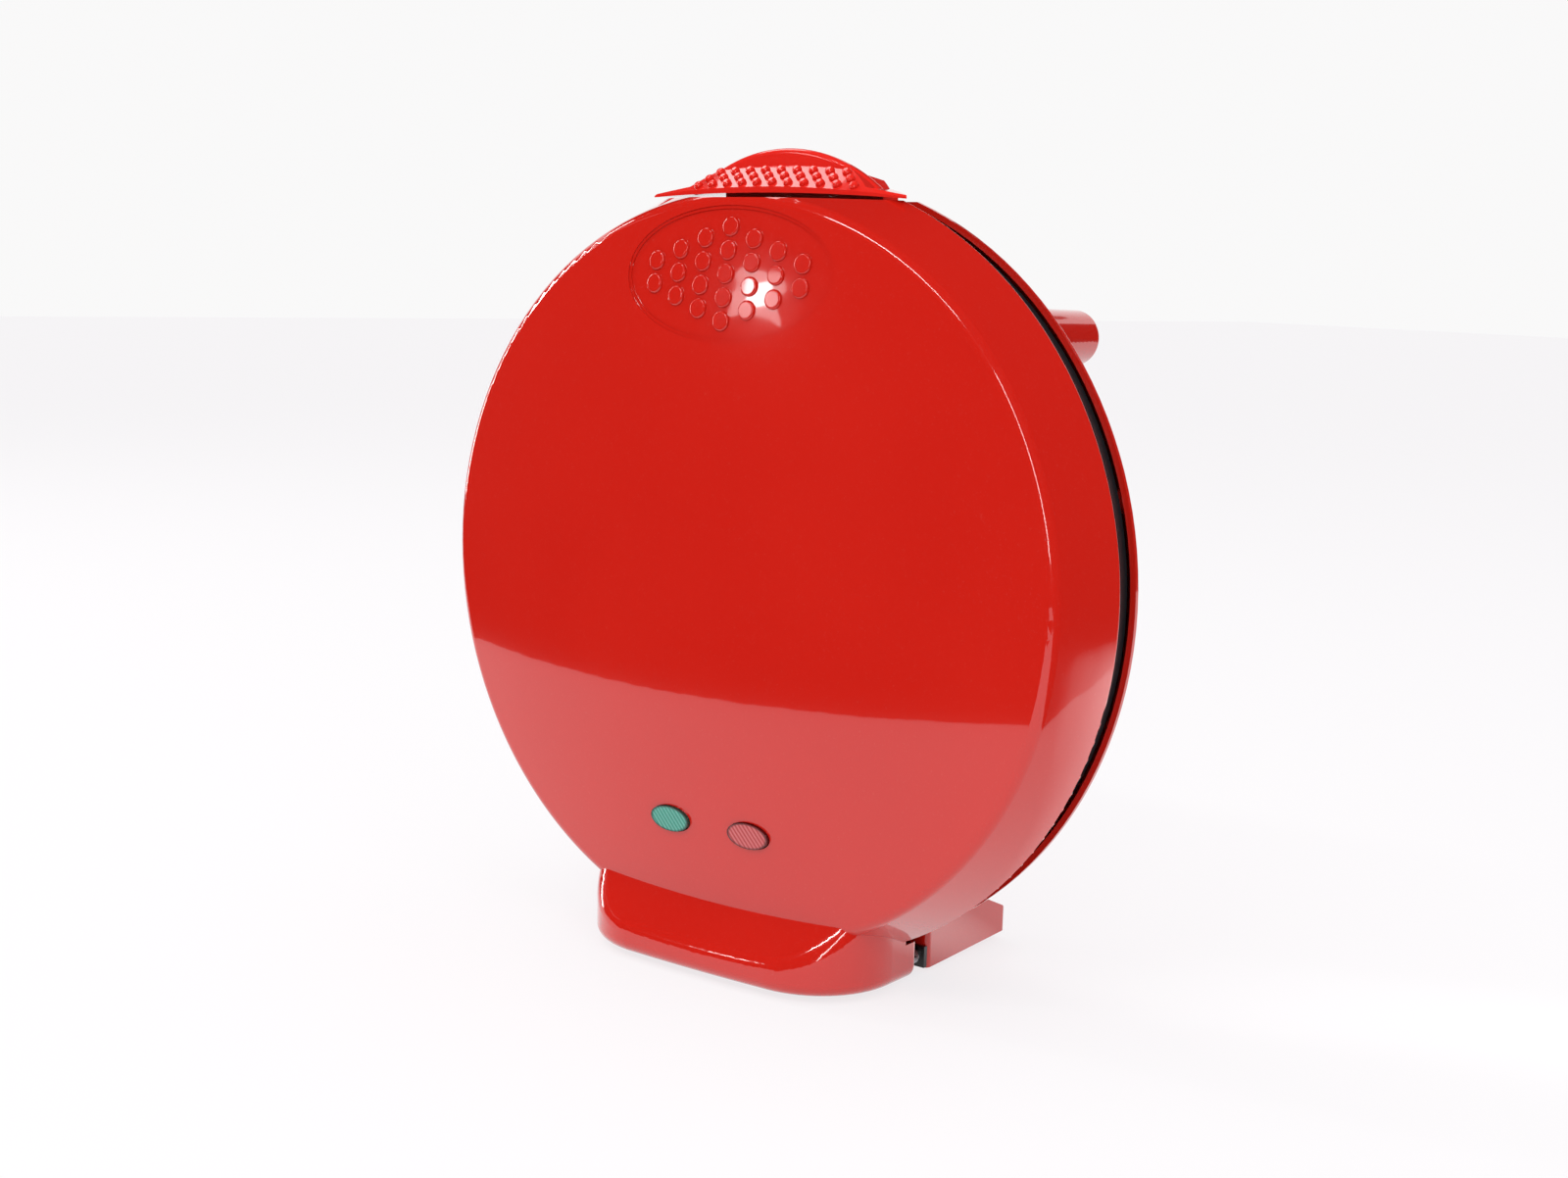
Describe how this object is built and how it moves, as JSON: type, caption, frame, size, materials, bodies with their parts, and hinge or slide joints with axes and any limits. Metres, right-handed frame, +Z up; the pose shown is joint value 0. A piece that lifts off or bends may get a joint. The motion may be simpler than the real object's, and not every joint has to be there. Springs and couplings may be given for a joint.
{
  "type": "quesadilla maker",
  "caption": "Round hinged countertop cooker with two wedge-welled heated plates, domed lid with grip pad and signal lights, rear stand, legs and carrying handle.",
  "frame": {"origin": "centre of the underside of the bounding box, on the table while the cooker stands on its hinge end", "axes": "+Z up from the table to the handle, -Y out of the lid's domed face, +Y to the ends of the legs, X across"},
  "size_m": [0.309, 0.126, 0.3202],
  "materials": {
    "red_gloss": "smooth high gloss",
    "red_handle": "gloss moulding",
    "black_nonstick": "satin non-stick coating",
    "grey_rubber": "matt",
    "black_steel": "satin",
    "bright_steel": "plated",
    "sheet_aluminium": "mill finish",
    "dark_sheath": "heat darkened",
    "black_plastic": "matt",
    "white_plastic": "matt",
    "wire_sleeve": "matt",
    "green_lens": "clear tinted gloss",
    "red_lens": "clear tinted gloss",
    "lamp_glass": "clear"
  },
  "bodies": {
    "base": {"base_shell": "red_gloss", "rear_stand": "red_gloss", "cord_bushing": "black_plastic", "stand_floor_pads": "grey_rubber", "stand_rear_pads": "grey_rubber", "leg_left": "red_gloss", "leg_right": "red_gloss", "leg_pads": "grey_rubber", "leg_screws": "bright_steel", "stand_screws": "bright_steel", "handle": "red_handle", "handle_screws": "bright_steel", "lower_plate": "black_nonstick", "lower_plate_screws": "bright_steel", "lower_heating_element": "dark_sheath", "lower_reflector": "sheet_aluminium", "lower_reflector_screws": "bright_steel", "thermostat": "bright_steel", "thermostat_screws": "bright_steel", "thermal_fuse": "sheet_aluminium", "terminal_block": "white_plastic", "terminal_screws": "bright_steel", "base_wiring": "wire_sleeve", "hinge_bracket_left": "black_steel", "hinge_bracket_right": "black_steel", "hinge_pin_left": "bright_steel", "hinge_pin_right": "bright_steel", "hinge_screws": "bright_steel"},
    "lid": {"lid_shell": "red_gloss", "lid_floor_pads": "grey_rubber", "upper_plate": "black_nonstick", "upper_plate_screws": "bright_steel", "upper_heating_element": "dark_sheath", "upper_reflector": "sheet_aluminium", "upper_reflector_screws": "bright_steel", "ready_light_lens": "green_lens", "power_light_lens": "red_lens", "ready_lamp": "lamp_glass", "power_lamp": "lamp_glass", "lamp_holder": "white_plastic", "lamp_holder_screws": "bright_steel", "lid_wiring": "wire_sleeve"}
  },
  "joints": [
    {"name": "lid_hinge", "type": "hinge", "parent": "base", "child": "lid", "pos_m": [0, -0.0115, 0.006], "axis": [1, 0, 0], "range_deg": [0, 100]}
  ]
}
